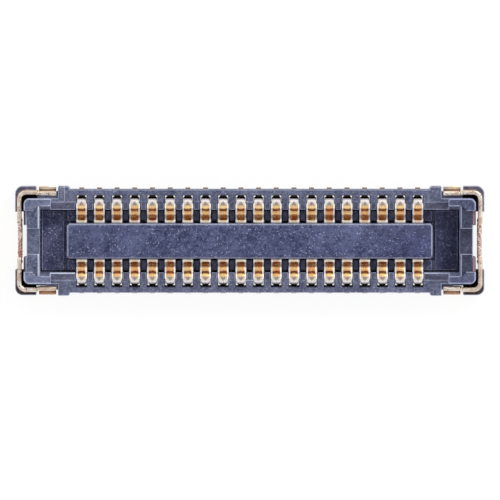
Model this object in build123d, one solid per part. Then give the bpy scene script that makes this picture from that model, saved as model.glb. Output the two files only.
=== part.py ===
from build123d import *
import os

# Receptacle half of a fine-pitch board-to-board connector for a flat display.
# Millimetres. X runs along the rows, Y across them, +Z points at the mating side.
# The origin is under the middle of the connector, on the plane of the solder tails.

# Contact rows
pitch = 0.40
contacts_per_row = 20

# Island in the middle of the mating groove
island_width = 0.794
island_height = 0.74
island_end_margin = 0.333
island_edge_chamfer = 0.035
island_corner_cut = 0.05

# Mating groove and the pockets at its two ends
groove_width = 0.312
pocket_length = 0.607
floor_thickness = 0.10
pocket_floor_height = 0.01
rib_height = 0.15
rib_wall_gap = 0.035
island_side_gap = 0.05
island_end_gap = 0.062
rib_field_margin = 0.12
cavity_side_gap = 0.018
pad_height = 0.085
pad_margin = 0.035

# Long walls with their contact slots
wall_thickness = 0.457
wall_height = 0.80
lead_in_width = 0.174
lead_in_depth = 0.10
outer_skin = 0.157
core_thickness = 0.083
core_top_gap = 0.012

# Ears that close the long walls
ear_projection = 0.067
ear_length = 0.266
ear_margin = 0.267
ear_chamfer = 0.03

# End walls and the raised rim that wraps each end
end_wall_thickness = 0.368
end_side_inset = 0.198
end_corner_radius = 0.13
end_recess_depth = 0.068
end_recess_width = 0.72
rim_height = 0.06
rim_arm_width = 0.172
rim_arm_length = 0.293
rim_edge_chamfer = 0.043
rim_edge_drop = 0.05
plain_field_width = 0.57
plain_field_depth = 0.04
bar_step_side = 0.69
bar_step_start = 0.11
bar_step_kink = 0.035
bar_step_depth = 0.012
bar_chamfer_width = 0.05
bar_chamfer_depth = 0.10

# Base corners that guard the hold-downs
post_height = 0.40
post_side_lip = 0.088
post_end_lip = 0.05
post_length = 0.479
post_corner_radius = 0.17
slot_floor = 0.10
end_notch_width = 1.30

# Formed contacts
contact_stock = 0.075
contact_width = 0.244
neck_width = 0.215
neck_shoulder = 0.02
tail_width = 0.115
tail_projection = 0.034
leg_gap = 0.054
contact_fit = 0.005
contact_top_gap = 0.03
contact_floor_gap = 0.01
lock_slope_start = 0.56
lock_knee_height = 0.52
lock_knee_reach = 0.105
trough_setback = 0.025
arm_foot_gap = 0.018
arm_knee_height = 0.49
arm_knee_reach = 0.045
arm_tip_height = 0.655
arm_tip_gap = 0.008
bend_facets = 12

# Hold-downs, each one strip standing on edge round an end
strip_thickness = 0.095
strip_end_gap = 0.052
strip_side_gap = 0.082
strip_top = 0.78
strip_corner_radius = 0.10
strip_fit = 0.005
arm_end_gap = 0.048
arm_jog = 0.022
arm_jog_length = 0.09
shear_width = 0.72
shear_inset = 0.02
shear_drop = 0.03
shear_ramp = 0.08
foot_length = 0.388
foot_reach = 0.10
foot_height = 0.08

# Places along X, measured from the middle
row_half = pitch * (contacts_per_row - 1) / 2
island_half = row_half + island_end_margin
pocket_end = island_half + pocket_length
end_outer = pocket_end + end_wall_thickness
ear_start = row_half + ear_margin
ear_end = ear_start + ear_length
strip_inner_x = end_outer + strip_end_gap
strip_outer_x = strip_inner_x + strip_thickness
base_half_length = strip_outer_x + post_end_lip
post_start = base_half_length - post_length
arm_end = ear_end + arm_end_gap
rim_start = pocket_end + rim_edge_chamfer - rim_arm_length

# Places along Y, measured from the middle
island_side = island_width / 2
wall_inner = island_side + groove_width
wall_outer = wall_inner + wall_thickness
slot_outer = wall_outer - outer_skin
leg_outer = slot_outer - leg_gap
leg_middle = leg_outer - contact_stock / 2
core_outer = leg_outer - contact_stock - contact_fit
core_inner = core_outer - core_thickness
neck_start = core_outer - neck_shoulder
inner_leg_middle = core_inner - contact_fit - contact_stock / 2
end_side = wall_outer - end_side_inset
strip_inner_y = end_side + strip_side_gap
strip_outer_y = strip_inner_y + strip_thickness
base_half_width = strip_outer_y + post_side_lip
ear_outer = wall_outer + ear_projection
recess_side = strip_inner_y - arm_jog - strip_fit
rim_inner = end_side - rim_arm_width

# Levels along Z
floor_top = floor_thickness + pocket_floor_height
rib_top = floor_thickness + rib_height
lead_in_foot = wall_height - lead_in_depth
rim_top = wall_height + rim_height
contact_top = wall_height - contact_top_gap
bend_middle = contact_top - contact_stock / 2
core_top = contact_top - contact_stock - core_top_gap
trough_middle = floor_thickness + contact_floor_gap + contact_stock / 2
channel_top = contact_stock + contact_fit

# Widths of the openings that take a contact
inner_slot_width = contact_width + 2 * cavity_side_gap
outer_slot_width = neck_width + 2 * contact_fit

above = rim_top + wall_height
tiny = 0.001


def side_prism(points, width):
    """A prism across the row: a closed outline in Y and Z, made as wide as given along X."""
    face = make_face(Plane.YZ * Polyline(*points, close=True))
    return extrude(face, amount=width / 2, both=True)


def plan_area(x_near, x_far, y_near, y_far):
    """A rectangle in the board plane."""
    centre = ((x_near + x_far) / 2, (y_near + y_far) / 2)
    return Pos(*centre) * Rectangle(x_far - x_near, y_far - y_near)


def raised(sketch, low, high):
    """A plan sketch made solid between two levels."""
    return Pos(0, 0, low) * extrude(sketch, amount=high - low)


def four_ways(sketch):
    """A plan sketch in the first quarter, copied to all four quarters."""
    pair = sketch + mirror(sketch, about=Plane.YZ)
    return pair + mirror(pair, about=Plane.XZ)


def both_ends(shape):
    """A shape at the +X end together with its mirror at the -X end."""
    return shape + mirror(shape, about=Plane.YZ)


def end_outline():
    """Plan of the end walls with their rounded outer corners."""
    return RectangleRounded(2 * end_outer, 2 * end_side, end_corner_radius)


def strip_outline(grow):
    """Plan inside the outer face of the two hold-downs, grown by a clearance."""
    length = 2 * (strip_outer_x + grow)
    width = 2 * (strip_outer_y + grow)
    return RectangleRounded(length, width, strip_corner_radius + strip_thickness + grow)


def base_corners():
    """Four low corner posts, each with the slot floor that a hold-down stands on."""
    outline = RectangleRounded(2 * base_half_length, 2 * base_half_width, post_corner_radius)
    corner = four_ways(plan_area(post_start, base_half_length, end_notch_width / 2, base_half_width))
    inner = plan_area(ear_end - ear_length / 2, post_start, 0, recess_side)
    ledge = plan_area(ear_end - ear_length / 2, arm_end - strip_fit, 0, strip_outer_y - arm_jog)
    plinth = outline & (corner + four_ways(inner) + four_ways(ledge))
    guard = (outline & corner) - strip_outline(strip_fit)
    return raised(plinth, 0, slot_floor) + raised(guard, 0, post_height)


def side_walls():
    """The long walls with their ears, and the end walls, up to the common wall height."""
    ear = plan_area(ear_start, ear_end, 0, ear_outer)
    ear = chamfer(ear.vertices().group_by(Axis.Y)[-1].sort_by(Axis.X)[0], ear_chamfer)
    walls = Rectangle(2 * ear_end, 2 * wall_outer) + four_ways(ear)
    return raised(walls + end_outline(), 0, wall_height)


def end_prism(points, width):
    """A prism along the row: a closed outline in X and Z, made as wide as given along Y."""
    face = make_face(Plane.XZ * Polyline(*points, close=True))
    return extrude(face, amount=width / 2, both=True)


def rim():
    """Raised rim on each end: a bar across the end wall with a short arm along each side."""
    outline = end_outline() & four_ways(plan_area(rim_start, end_outer, 0, end_side))
    return raised(outline, wall_height, rim_top)


def funnel(inside, foot, outside, lip):
    """Outline of an opening whose sides stand upright, then lean outwards from foot to lip."""
    right = [(inside, floor_top), (inside, foot), (outside, lip), (outside, above)]
    return right + [(-place, level) for place, level in reversed(right)]


def basin():
    """Space inside the walls: the groove, the end pockets and the lead-in slopes above them."""
    middle = funnel(wall_inner, lead_in_foot, wall_inner + lead_in_width, wall_height)
    steep = funnel(wall_inner, lead_in_foot, rim_inner, rim_top)
    along = funnel(pocket_end, rim_top - rim_edge_drop, pocket_end + rim_edge_chamfer, rim_top)
    plain = plan_area(pocket_end, end_outer, -plain_field_width / 2, plain_field_width / 2)
    ends = side_prism(steep, 2 * end_outer) & end_prism(along, 2 * base_half_width)
    ends -= both_ends(raised(plain, 0, above))
    return side_prism(middle, 2 * rim_start) + ends


def rib_field():
    """Raised floor of the contact rows. Narrow gaps part it from the island and from the walls."""
    field_half = row_half + rib_field_margin + pitch / 2
    field = Rectangle(2 * field_half, 2 * (wall_inner - rib_wall_gap))
    moat = Rectangle(2 * (island_half + island_end_gap), 2 * (island_side + island_side_gap))
    return raised(field - moat, 0, rib_top)


def island():
    """Island with a bevelled top edge and cut upright corners."""
    plan = Rectangle(2 * island_half, island_width)
    block = raised(chamfer(plan.vertices(), island_corner_cut), 0, island_height)
    return chamfer(block.edges().group_by(Axis.Z)[-1], island_edge_chamfer)


def pocket_pads():
    """Low pads on the floor of the end pockets."""
    near = island_half + island_end_gap
    far = pocket_end - pad_margin
    half = wall_inner - pad_margin
    return both_ends(raised(plan_area(near, far, -half, half), 0, floor_top + pad_height))


def bar_step():
    """Plan of the lower middle of each end bar, which leaves the rim's corners a little higher."""
    edge = pocket_end + rim_edge_chamfer
    start = edge + bar_step_start
    quarter = [
        (pocket_end, 0),
        (pocket_end, rim_inner),
        (edge, rim_inner),
        (start, bar_step_side + bar_step_kink),
        (start, bar_step_side),
        (base_half_length, bar_step_side),
        (base_half_length, 0),
    ]
    return four_ways(make_face(Polyline(*quarter, close=True)))


def end_cuts():
    """What is cut from each end: the lower bar, its chamfer, a recess for the strip, a plain field."""
    recess_floor = end_outer - end_recess_depth
    recess = plan_area(recess_floor, base_half_length, -end_recess_width / 2, end_recess_width / 2)
    field = plan_area(pocket_end, end_outer, -plain_field_width / 2, plain_field_width / 2)
    bar_top = rim_top - bar_step_depth
    slope = [
        (end_outer - bar_chamfer_width, bar_top),
        (end_outer, bar_top - bar_chamfer_depth),
        (base_half_length, bar_top - bar_chamfer_depth),
        (base_half_length, bar_top),
    ]
    chamfers = both_ends(end_prism(slope, 2 * bar_step_side))
    lower = raised(bar_step(), bar_top, above)
    outer = raised(recess, 0, above)
    return lower + chamfers + both_ends(outer + raised(field, rim_top - plain_field_depth, above))


def contact_station():
    """Everything cut out of the housing for one contact, with the wall core left standing."""
    inner = [
        (island_side, floor_thickness),
        (core_inner, floor_thickness),
        (core_inner, core_top),
        (neck_start, core_top),
        (neck_start, above),
        (island_side, above),
    ]
    outer = [
        (core_outer, 0),
        (base_half_width, 0),
        (base_half_width, channel_top),
        (slot_outer, channel_top),
        (slot_outer, above),
        (neck_start, above),
        (neck_start, core_top),
        (core_outer, core_top),
    ]
    slot = side_prism(outer, outer_slot_width) & raised(station_plan(contact_fit), 0, above)
    return side_prism(inner, inner_slot_width) + slot


def station_plan(grow):
    """Plan of a contact from its wide inner part to its neck and its narrow tail, grown by a clearance."""
    wide = contact_width / 2 + grow
    neck = neck_width / 2 + grow
    tail = tail_width / 2 + grow
    return (
        plan_area(-wide, wide, 0, neck_start)
        + plan_area(-neck, neck, 0, slot_outer + grow)
        + plan_area(-tail, tail, 0, base_half_width)
    )


def contact():
    """One contact bent from strip: tail, outer leg, bend over the core, lock knee, trough, spring arm."""
    tail_tip = wall_outer + tail_projection
    arm_foot = island_side + arm_foot_gap + contact_stock / 2
    spine = Polyline(
        (tail_tip, contact_stock / 2),
        (leg_middle, contact_stock / 2),
        (leg_middle, bend_middle),
        (inner_leg_middle, bend_middle),
        (inner_leg_middle, lock_slope_start),
        (inner_leg_middle - lock_knee_reach, lock_knee_height),
        (inner_leg_middle - trough_setback, trough_middle),
        (arm_foot, trough_middle),
        (arm_foot + arm_knee_reach, arm_knee_height),
        (island_side + arm_tip_gap + contact_stock / 2, arm_tip_height),
    )
    strip = make_face(offset(spine, amount=contact_stock / 2, side=Side.BOTH, kind=Kind.INTERSECTION))
    bend_radius = (leg_outer - inner_leg_middle + contact_stock / 2) / 2
    bend = RegularPolygon(bend_radius, bend_facets, major_radius=False, rotation=180 / bend_facets)
    bend = Pos(leg_outer - bend_radius, contact_top - bend_radius) * bend
    below = (Align.CENTER, Align.MAX)
    legs = Pos(0, contact_top - bend_radius) * Rectangle(2 * tail_tip, contact_top, align=below)
    profile = Plane.YZ * (strip & (legs + bend))
    return extrude(profile, amount=contact_width / 2, both=True) & raised(station_plan(0), 0, above)


def hold_down():
    """Hold-down at the +X end: a strip on edge, jogged arms with solder feet, sheared middle."""
    middle_x = strip_outer_x - strip_thickness / 2
    middle_y = strip_outer_y - strip_thickness / 2
    shear = shear_width / 2
    half = [
        (arm_end, middle_y - arm_jog),
        (post_start - arm_jog_length, middle_y - arm_jog),
        (post_start, middle_y),
        (middle_x, middle_y),
        (middle_x, shear + shear_ramp),
        (middle_x - shear_inset, shear),
    ]
    line = Polyline(*half, *[(x, -y) for x, y in reversed(half)])
    plan = make_face(offset(line, amount=strip_thickness / 2, side=Side.BOTH, kind=Kind.INTERSECTION))
    outer_corners = [v for v in plan.vertices() if v.X > strip_outer_x - tiny]
    outer_corners = [v for v in outer_corners if abs(v.Y) > strip_outer_y - tiny]
    plan = fillet(outer_corners, strip_corner_radius + strip_thickness)
    inner_corners = [v for v in plan.vertices() if abs(v.X - strip_inner_x) < tiny]
    inner_corners = [v for v in inner_corners if abs(abs(v.Y) - strip_inner_y) < tiny]
    plan = fillet(inner_corners, strip_corner_radius)
    strip = raised(plan, slot_floor, strip_top)
    strip -= raised(plan_area(end_outer, base_half_length, -shear, shear), strip_top - shear_drop, above)
    inner = middle_y - arm_jog - strip_thickness / 2
    outer = inner + strip_thickness
    leg = [
        (inner, slot_floor),
        (inner, 0),
        (outer + foot_reach, 0),
        (outer + foot_reach, foot_height),
        (outer, foot_height),
        (outer, slot_floor),
    ]
    foot = Pos(arm_end + foot_length / 2, 0, 0) * side_prism(leg, foot_length)
    return strip + foot + mirror(foot, about=Plane.XZ)


def housing():
    """The whole insulator, moulded in one piece."""
    body = side_walls() + base_corners() + rim()
    body = body - basin() + pocket_pads() + rib_field() + island() - end_cuts()
    station = contact_station()
    spots = GridLocations(pitch, 0, contacts_per_row, 1).locations
    row = [spot * station for spot in spots]
    return body - row - [Rot(0, 0, 180) * cut for cut in row]


def write(name, shape):
    """One STEP file for one piece."""
    shape.label = name
    export_step(shape, os.path.join("parts", name + ".step"))


def main():
    os.makedirs("parts", exist_ok=True)
    write("housing", housing())
    single = contact()
    for number, spot in enumerate(GridLocations(pitch, 0, contacts_per_row, 1).locations, start=1):
        write(f"contact_a_{number:02d}", spot * single)
        write(f"contact_b_{number:02d}", spot * Rot(0, 0, 180) * single)
    end = hold_down()
    write("hold_down_right", end)
    write("hold_down_left", Rot(0, 0, 180) * end)


if __name__ == "__main__":
    main()
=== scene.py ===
# %% [markdown]
# A display connector, seen from above. It is the board half of a tiny plug and socket: a dark moulded
# housing 10.6 mm long, forty gold contacts at 0.4 mm pitch, and a sheet-metal hold-down round each end.
# The solids come from a fixed frame. This lesson dresses them: the moulding gets its polished arrises
# and glass flecks, the contacts are swept again with rolled edges, and the strip gets its torn middle.

# %% Load the frame
import bmesh
import bpy
import math
from mathutils import Matrix, Vector, noise


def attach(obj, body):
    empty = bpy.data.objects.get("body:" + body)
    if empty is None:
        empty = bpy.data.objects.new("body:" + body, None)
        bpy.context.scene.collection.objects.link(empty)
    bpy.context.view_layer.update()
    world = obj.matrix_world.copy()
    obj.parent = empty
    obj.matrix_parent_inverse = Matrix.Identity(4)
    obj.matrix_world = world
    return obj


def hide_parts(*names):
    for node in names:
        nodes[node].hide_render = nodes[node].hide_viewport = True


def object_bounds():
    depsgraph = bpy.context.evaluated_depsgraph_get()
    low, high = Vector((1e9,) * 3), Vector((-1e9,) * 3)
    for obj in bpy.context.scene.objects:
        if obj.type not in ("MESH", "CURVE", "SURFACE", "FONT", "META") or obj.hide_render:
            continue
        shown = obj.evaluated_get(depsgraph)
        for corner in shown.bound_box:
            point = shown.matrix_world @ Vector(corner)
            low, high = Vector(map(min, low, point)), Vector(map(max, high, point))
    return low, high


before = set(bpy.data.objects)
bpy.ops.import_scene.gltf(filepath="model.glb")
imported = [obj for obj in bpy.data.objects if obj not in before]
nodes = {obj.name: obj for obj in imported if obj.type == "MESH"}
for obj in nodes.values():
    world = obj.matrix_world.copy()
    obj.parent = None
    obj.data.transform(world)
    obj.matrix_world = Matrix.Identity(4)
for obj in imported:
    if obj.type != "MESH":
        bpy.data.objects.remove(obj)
cad_low, cad_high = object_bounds()
print("frame:", len(nodes), "solids, from", tuple(cad_low), "to", tuple(cad_high))

# %% [markdown]
# The part is so small that bevels and normals lose precision in metres. Every mesh here is therefore
# made in millimetres and brought to metres in one last step, so its object stays at the origin, unscaled.

# %% Units and shared helpers
MM = 0.001
TO_METRES = Matrix.Scale(MM, 4)
TO_MILLIMETRES = Matrix.Scale(1 / MM, 4)


def piece_from(mesh, name, replaced):
    """A finished piece: a mesh in millimetres becomes an object in metres that rides on the part."""
    mesh.transform(TO_METRES)
    mesh.name = name
    made = bpy.data.objects.new(name, mesh)
    bpy.context.scene.collection.objects.link(made)
    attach(made, "root")
    if replaced:
        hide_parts(*replaced)
    print(name, "has", len(mesh.polygons), "faces and stands for", len(replaced), "solids")
    return made


def evaluated_mesh(holder):
    """The mesh of an object with its modifiers applied, after which the object is thrown away."""
    bpy.context.view_layer.update()
    result = bpy.data.meshes.new_from_object(holder.evaluated_get(bpy.context.evaluated_depsgraph_get()))
    bpy.data.objects.remove(holder)
    return result


def add(tree, kind, values=None, **settings):
    """One node with its settings. A value is a number, a colour or the socket that feeds it."""
    made = tree.nodes.new(kind)
    for name, value in settings.items():
        setattr(made, name, value)
    for name, value in (values or {}).items():
        socket = made.inputs[name]
        if isinstance(value, bpy.types.NodeSocket):
            tree.links.new(value, socket)
        else:
            socket.default_value = value
    return made


def shade(red, green, blue):
    """A colour written as it looks on a screen, 0 to 255, as the linear colour that a shader takes."""
    def linear(channel):
        part = channel / 255
        return part / 12.92 if part <= 0.04045 else ((part + 0.055) / 1.055) ** 2.4
    return (linear(red), linear(green), linear(blue), 1.0)


# %% [markdown]
# The housing is a liquid-crystal polymer filled with short glass fibres. From close by it is a cloudy
# navy grey full of pale flecks: dots where a fibre ends at the skin, and dashes where one lies in it.
# Noise gives the clouds, and Voronoi cells cut at a small radius give the flecks. Stretching the space
# before the cells are made turns round dots into dashes.

# %% Building blocks for the finishes
def in_millimetres(tree):
    """The point being shaded, in the piece's own space, in millimetres."""
    place = add(tree, "ShaderNodeTexCoord").outputs["Object"]
    return add(tree, "ShaderNodeVectorMath", {0: place, 1: (1 / MM,) * 3}, operation="MULTIPLY").outputs[0]


def stretched(tree, space, turn, stretch):
    """The same space, turned about Z and stretched, to draw dashes instead of dots."""
    values = {"Vector": space, "Rotation": (0.0, 0.0, turn), "Scale": stretch}
    return add(tree, "ShaderNodeMapping", values).outputs[0]


def grain(tree, space, scale, detail=3.0, rough=0.55):
    """Noise between 0 and 1."""
    values = {"Vector": space, "Scale": scale, "Detail": detail, "Roughness": rough}
    return add(tree, "ShaderNodeTexNoise", values).outputs["Fac"]


def flecks(tree, space, scale, size):
    """Small spots, 1 inside and 0 outside, one in each cell."""
    cells = add(tree, "ShaderNodeTexVoronoi", {"Vector": space, "Scale": scale}).outputs["Distance"]
    return ranged(tree, cells, size, size * 0.35)


def ranged(tree, value, low, high, to_low=0.0, to_high=1.0):
    """A value stretched from one range to another and held inside it."""
    values = {"Value": value, "From Min": low, "From Max": high, "To Min": to_low, "To Max": to_high}
    return add(tree, "ShaderNodeMapRange", values).outputs[0]


def blend(tree, amount, first, second):
    """One colour laid over another by an amount."""
    made = add(tree, "ShaderNodeMix", {"Factor": amount}, data_type="RGBA")
    colour_a, colour_b = [s for s in made.inputs if s.type == "RGBA"]
    for socket, value in ((colour_a, first), (colour_b, second)):
        if isinstance(value, bpy.types.NodeSocket):
            tree.links.new(value, socket)
        else:
            socket.default_value = value
    return [s for s in made.outputs if s.type == "RGBA"][0]


def maths(tree, operation, first, second=0.0):
    """One sum on two values."""
    return add(tree, "ShaderNodeMath", {0: first, 1: second}, operation=operation).outputs[0]


def product(tree, first, *others):
    """Values multiplied one after another."""
    for other in others:
        first = maths(tree, "MULTIPLY", first, other)
    return first


def largest(tree, *values):
    """The largest of several values."""
    *others, last = values
    for other in reversed(others):
        last = maths(tree, "MAXIMUM", other, last)
    return last


def tinted(tree, colour, tint):
    """A colour multiplied by another, channel by channel."""
    return add(tree, "ShaderNodeVectorMath", {0: colour, 1: tint}, operation="MULTIPLY").outputs[0]


def bumped(tree, height, strength, depth_mm):
    """A normal that follows a height, whose full range is a depth in millimetres."""
    values = {"Height": height, "Strength": strength, "Distance": depth_mm * MM}
    return add(tree, "ShaderNodeBump", values).outputs[0]


def new_material(name):
    """An empty material and its tree."""
    made = bpy.data.materials.new(name)
    made.use_nodes = True
    made.node_tree.nodes.clear()
    return made, made.node_tree


def finish_with(tree, values):
    """The principled shader that ends a material."""
    shader = add(tree, "ShaderNodeBsdfPrincipled", values)
    add(tree, "ShaderNodeOutputMaterial", {"Surface": shader.outputs[0]})


# %% The moulded polymer
CLOUD_SCALE, PATCH_SCALE, MOTTLE_SCALE, CROWD_SCALE = 2.1, 7.0, 24.0, 6.0
CLOUD_SHARE, PATCH_SHARE, MOTTLE_SHARE = 0.25, 0.25, 0.5
TONE_REACH = 0.13
DOTS, DUST = (15.0, 0.26), (25.0, 0.30)
LEANING, FALLING = (0.6, (1.0, 0.35, 0.6)), (-0.9, (0.35, 1.0, 0.6))
LEANING_DASHES, FALLING_DASHES = (19.0, 0.22), (17.0, 0.22)
POLYMER_GLOSS = 0.3
# A pale line painted on the left ear along a mould witness line: the line is the moulding's own, and its
# paleness is a painted highlight.
WITNESS_PLACE, WITNESS_HALF, WITNESS_SIDE, WITNESS_SHARE = -4.186, 0.009, 0.90, 0.7
# Spans along X over which painted shade darkens the right end, and how much bluer that shade turns.
SHADE_SPAN, ISLAND_SHADE_SPAN = (3.6, 4.6), (2.6, 3.5)
SHADE_BLUE = 1.15


def polymer(name, dark, light, fleck, fleck_share, roughness, contrast=1.0, end_shade=1.0,
            witness_highlight=False, crowd=0.36, dust=0.0, shade_span=SHADE_SPAN):
    """Glass-filled polymer: clouds of two tones, fine mottle, pale flecks in crowds, and, where asked,
    painted shade at the right end and a painted highlight on a witness line.
    """
    made, tree = new_material(name)
    space = in_millimetres(tree)
    clouds = grain(tree, space, CLOUD_SCALE, 2.0)
    patches = grain(tree, space, PATCH_SCALE, 2.0)
    mottle = grain(tree, space, MOTTLE_SCALE, 3.0, 0.75)
    tone = maths(tree, "ADD", product(tree, clouds, CLOUD_SHARE), product(tree, patches, PATCH_SHARE))
    tone = maths(tree, "ADD", tone, product(tree, mottle, MOTTLE_SHARE))
    reach = TONE_REACH / contrast
    body = blend(tree, ranged(tree, tone, 0.5 - reach, 0.5 + reach), shade(*dark), shade(*light))
    dots = flecks(tree, space, *DOTS)
    leaning = flecks(tree, stretched(tree, space, *LEANING), *LEANING_DASHES)
    falling = flecks(tree, stretched(tree, space, *FALLING), *FALLING_DASHES)
    crowded = ranged(tree, grain(tree, space, CROWD_SCALE, 1.0), crowd, crowd + 0.2)
    marks = product(tree, largest(tree, dots, leaning, falling), crowded)
    if dust:
        specks = product(tree, flecks(tree, space, *DUST), ranged(tree, mottle, 0.44, 0.56, 0.0, dust))
        marks = largest(tree, marks, specks)
    colour = blend(tree, product(tree, marks, fleck_share), body, shade(*fleck))
    axes = add(tree, "ShaderNodeSeparateXYZ", {"Vector": space}).outputs
    # Painted shade: the tone sinks, and turns a little bluer, towards the right end.
    if end_shade < 1.0:
        end_tint = (end_shade, end_shade, min(1.0, end_shade * SHADE_BLUE), 1.0)
        colour = tinted(tree, colour, blend(tree, ranged(tree, axes["X"], *shade_span), (1.0,) * 4, end_tint))
    # Painted highlight along the witness line on the left ear.
    if witness_highlight:
        off = maths(tree, "ABSOLUTE", maths(tree, "SUBTRACT", axes["X"], WITNESS_PLACE))
        line = ranged(tree, off, WITNESS_HALF * 1.5, WITNESS_HALF * 0.5)
        line = product(tree, line, ranged(tree, axes["Y"], WITNESS_SIDE, WITNESS_SIDE + WITNESS_HALF))
        colour = blend(tree, product(tree, line, WITNESS_SHARE), colour, shade(*fleck))
    height = maths(tree, "ADD", mottle, product(tree, marks, 0.5))
    finish_with(tree, {
        "Base Color": colour,
        "Roughness": ranged(tree, mottle, 0.3, 0.7, roughness - 0.08, roughness + 0.1),
        "Specular IOR Level": POLYMER_GLOSS,
        "Normal": bumped(tree, height, 0.6, 0.006),
    })
    return made


# %% [markdown]
# One moulding shows many tones, and most of them are painted light and shade: its top is brighter than
# the floor of the groove, the arrises carry painted highlights, the slots and the inward slopes carry
# painted shade, the ribs and the rims are painted lighter, and the right end is painted darker. Each row
# below is one tone of the same polymer. It gives the dark tone, the light tone, the fleck, how strongly
# the flecks show, the roughness, the contrast, and how far the tone sinks at the right end.

# %% The tones of the housing
HOUSING_TONES = (
    ("housing_polymer", (56, 60, 88), (118, 122, 148), (176, 180, 206), 0.6, 0.5, 1.1),
    # Painted highlight: the thin line of light along each bevelled arris.
    ("arris_highlight", (124, 130, 158), (180, 185, 210), (225, 228, 245), 0.7, 0.30),
    ("island_polymer", (34, 40, 76), (98, 105, 144), (170, 175, 208), 0.75, 0.55, 1.2, 0.68),
    ("floor_polymer", (54, 58, 96), (120, 124, 164), (216, 218, 240), 0.9, 0.6, 1.25, 0.46),
    # Paler copy for the groove's ribs: painted light that lifts them out of the groove's shade.
    ("rib_polymer_lit", (100, 108, 148), (174, 184, 226), (190, 192, 220), 0.7, 0.6, 1.2),
    # Darker copy for faces that lean inwards: painted shade.
    ("slope_polymer_shaded", (50, 52, 78), (104, 106, 132), (160, 164, 190), 0.5, 0.5, 1.1),
    # Paler copy for the raised rims: painted light.
    ("rim_polymer_lit", (74, 80, 110), (134, 140, 170), (190, 194, 218), 0.5, 0.45, 1.0, 0.55),
    ("bar_polymer", (56, 62, 88), (114, 120, 148), (176, 180, 206), 0.5, 0.45, 1.15, 0.41),
    # The posts' warm purple grey is partly their own tone and partly a painted reflection of the gold strip
    # beside them.
    ("corner_polymer", (56, 50, 70), (104, 96, 118), (160, 146, 156), 0.5, 0.45, 1.1),
    # Near black copy for the slots: painted shade.
    ("slot_shade", (8, 8, 16), (26, 26, 40), (60, 60, 80), 0.2, 0.6),
    # Dark copy for the rims' inner chamfers: painted shade below their bright lip.
    ("rim_arris_shade", (40, 44, 66), (80, 84, 108), (160, 164, 190), 0.4, 0.5),
    # Brighter and dimmer painted highlights for some of the bevels.
    ("lip_highlight", (176, 184, 212), (220, 226, 244), (250, 250, 255), 0.4, 0.35, 1.0, 0.5),
    ("pad_highlight", (190, 196, 224), (236, 240, 255), (250, 250, 255), 0.4, 0.5, 1.0, 0.45),
    ("soft_highlight", (92, 96, 122), (146, 150, 176), (190, 194, 216), 0.5, 0.4),
    ("outer_highlight", (150, 158, 188), (200, 208, 232), (236, 240, 250), 0.5, 0.32, 1.0, 0.8),
    # A dimmer, reddish painted highlight for the bevels on the right end's outer face.
    ("shaded_arris", (112, 88, 98), (164, 134, 140), (200, 176, 180), 0.5, 0.42),
    # Lower posts: a darker, browner copy, painted shade.
    ("shaded_corner", (38, 28, 30), (76, 60, 58), (130, 108, 104), 0.4, 0.45, 1.1),
)
SPECIAL_TONES = {
    "housing_polymer": {"witness_highlight": True},
    "island_polymer": {"shade_span": ISLAND_SHADE_SPAN},
    "floor_polymer": {"crowd": 0.30, "dust": 0.6},
}
HOUSING_FINISHES = [polymer(*tones, **SPECIAL_TONES.get(tones[0], {})) for tones in HOUSING_TONES]
(TOP, ARRIS, ISLAND, FLOOR, RIB, SLOPE, RIM, BAR, CORNER, SLOT,
 RIM_SLOPE, LIP, PAD, SOFT, OUTER, SHADED, LOW_CORNER) = range(len(HOUSING_FINISHES))
print("polymer finishes:", ", ".join(finish.name for finish in HOUSING_FINISHES))

# %% [markdown]
# A contact starts as flat strip and is bent in steps: the tail, the outer leg, the bend over the wall,
# the lock bump, the trough, and the spring arm with its rounded tip. A few corner points, each with its
# bend radius, give the line that the strip follows. The same helper bends the hold-downs later.

# %% The line that a contact follows, across the row and up
CONTACT_LINE = (
    ((1.200, 0.0375), 0.0),
    ((0.9265, 0.0375), 0.055),
    ((0.9265, 0.7325), 0.050),
    ((0.7400, 0.7325), 0.070),
    ((0.7400, 0.560), 0.038),
    ((0.5880, 0.524), 0.030),
    ((0.7245, 0.310), 0.050),
    ((0.4525, 0.310), 0.050),
    ((0.4935, 0.500), 0.15),
    ((0.4315, 0.655), 0.0),
)


def rounded_line(corners, turn_step=math.radians(10), longest=0.04):
    """Points along straight runs joined by tangent arcs: place, direction and length run so far."""
    line = [Vector(corners[0][0])]
    for before, here, after in zip(corners, corners[1:], corners[2:]):
        corner = Vector(here[0])
        back = (Vector(before[0]) - corner).normalized()
        ahead = (Vector(after[0]) - corner).normalized()
        turn = math.pi - back.angle(ahead)
        centre = corner + (back + ahead).normalized() * (here[1] / math.cos(turn / 2))
        start = corner + back * here[1] * math.tan(turn / 2) - centre
        steps = max(2, math.ceil(turn / turn_step))
        way = 1 if back.x * ahead.y - back.y * ahead.x < 0 else -1
        for step in range(steps + 1):
            line.append(centre + Matrix.Rotation(way * turn * step / steps, 2) @ start)
    line.append(Vector(corners[-1][0]))
    dense = []
    for near, far in zip(line, line[1:]):
        parts = max(1, math.ceil((far - near).length / longest))
        dense += [near.lerp(far, step / parts) for step in range(parts)]
    dense.append(line[-1])
    samples, run = [], 0.0
    for index, place in enumerate(dense):
        run += (place - dense[index - 1]).length if index else 0.0
        way = (dense[min(index + 1, len(dense) - 1)] - dense[max(index - 1, 0)]).normalized()
        samples.append((place, way, run))
    return samples


contact_line = rounded_line(CONTACT_LINE)
STRIP_LENGTH = contact_line[-1][2]
print("a contact is", round(STRIP_LENGTH, 3), "mm of strip, drawn with", len(contact_line), "sections")

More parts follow.
